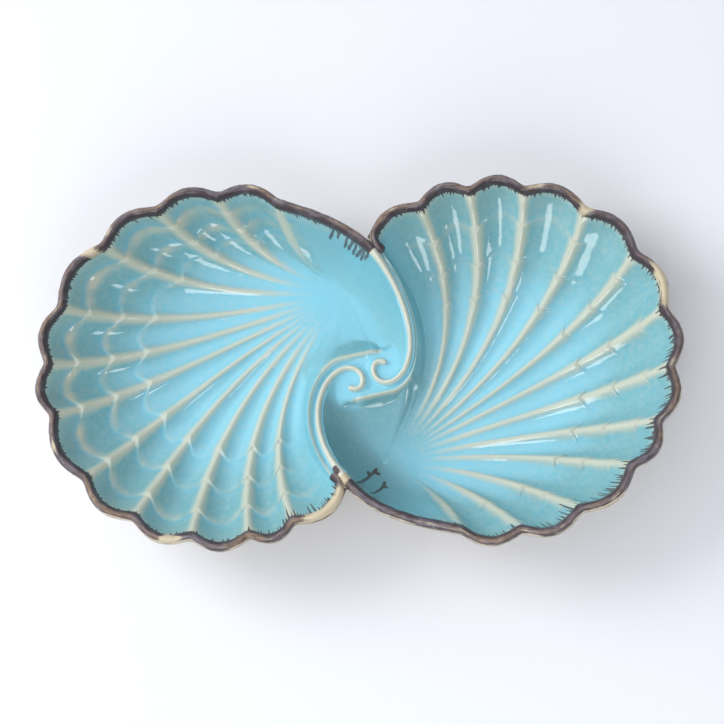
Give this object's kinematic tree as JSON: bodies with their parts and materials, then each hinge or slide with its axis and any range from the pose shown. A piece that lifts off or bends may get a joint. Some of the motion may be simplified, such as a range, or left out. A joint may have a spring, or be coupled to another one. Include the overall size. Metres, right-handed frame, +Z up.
{
  "type": "double shell serving dish",
  "caption": "Glazed earthenware serving dish of fluted scallop-shell bowls that swirl into each other, with a brown rolled rim and curled scrolls in the middle",
  "frame": {"origin": "on the table, under the middle of the dish, where the two bowls meet", "axes": "+X runs from the left bowl to the right bowl, +Y across the dish, +Z up out of the bowls"},
  "size_m": [0.3233, 0.1926, 0.044],
  "materials": {
    "turquoise_glaze": "glossy",
    "brown_rim": "glossy",
    "cream_scroll": "glossy",
    "bare_foot": "matte"
  },
  "bodies": {
    "root": {"right_shell": "turquoise_glaze", "left_shell": "turquoise_glaze", "right_rim": "brown_rim", "left_rim": "brown_rim", "lower_scroll": "cream_scroll", "upper_scroll": "cream_scroll", "right_foot_ring": "bare_foot", "left_foot_ring": "bare_foot"}
  },
  "joints": []
}
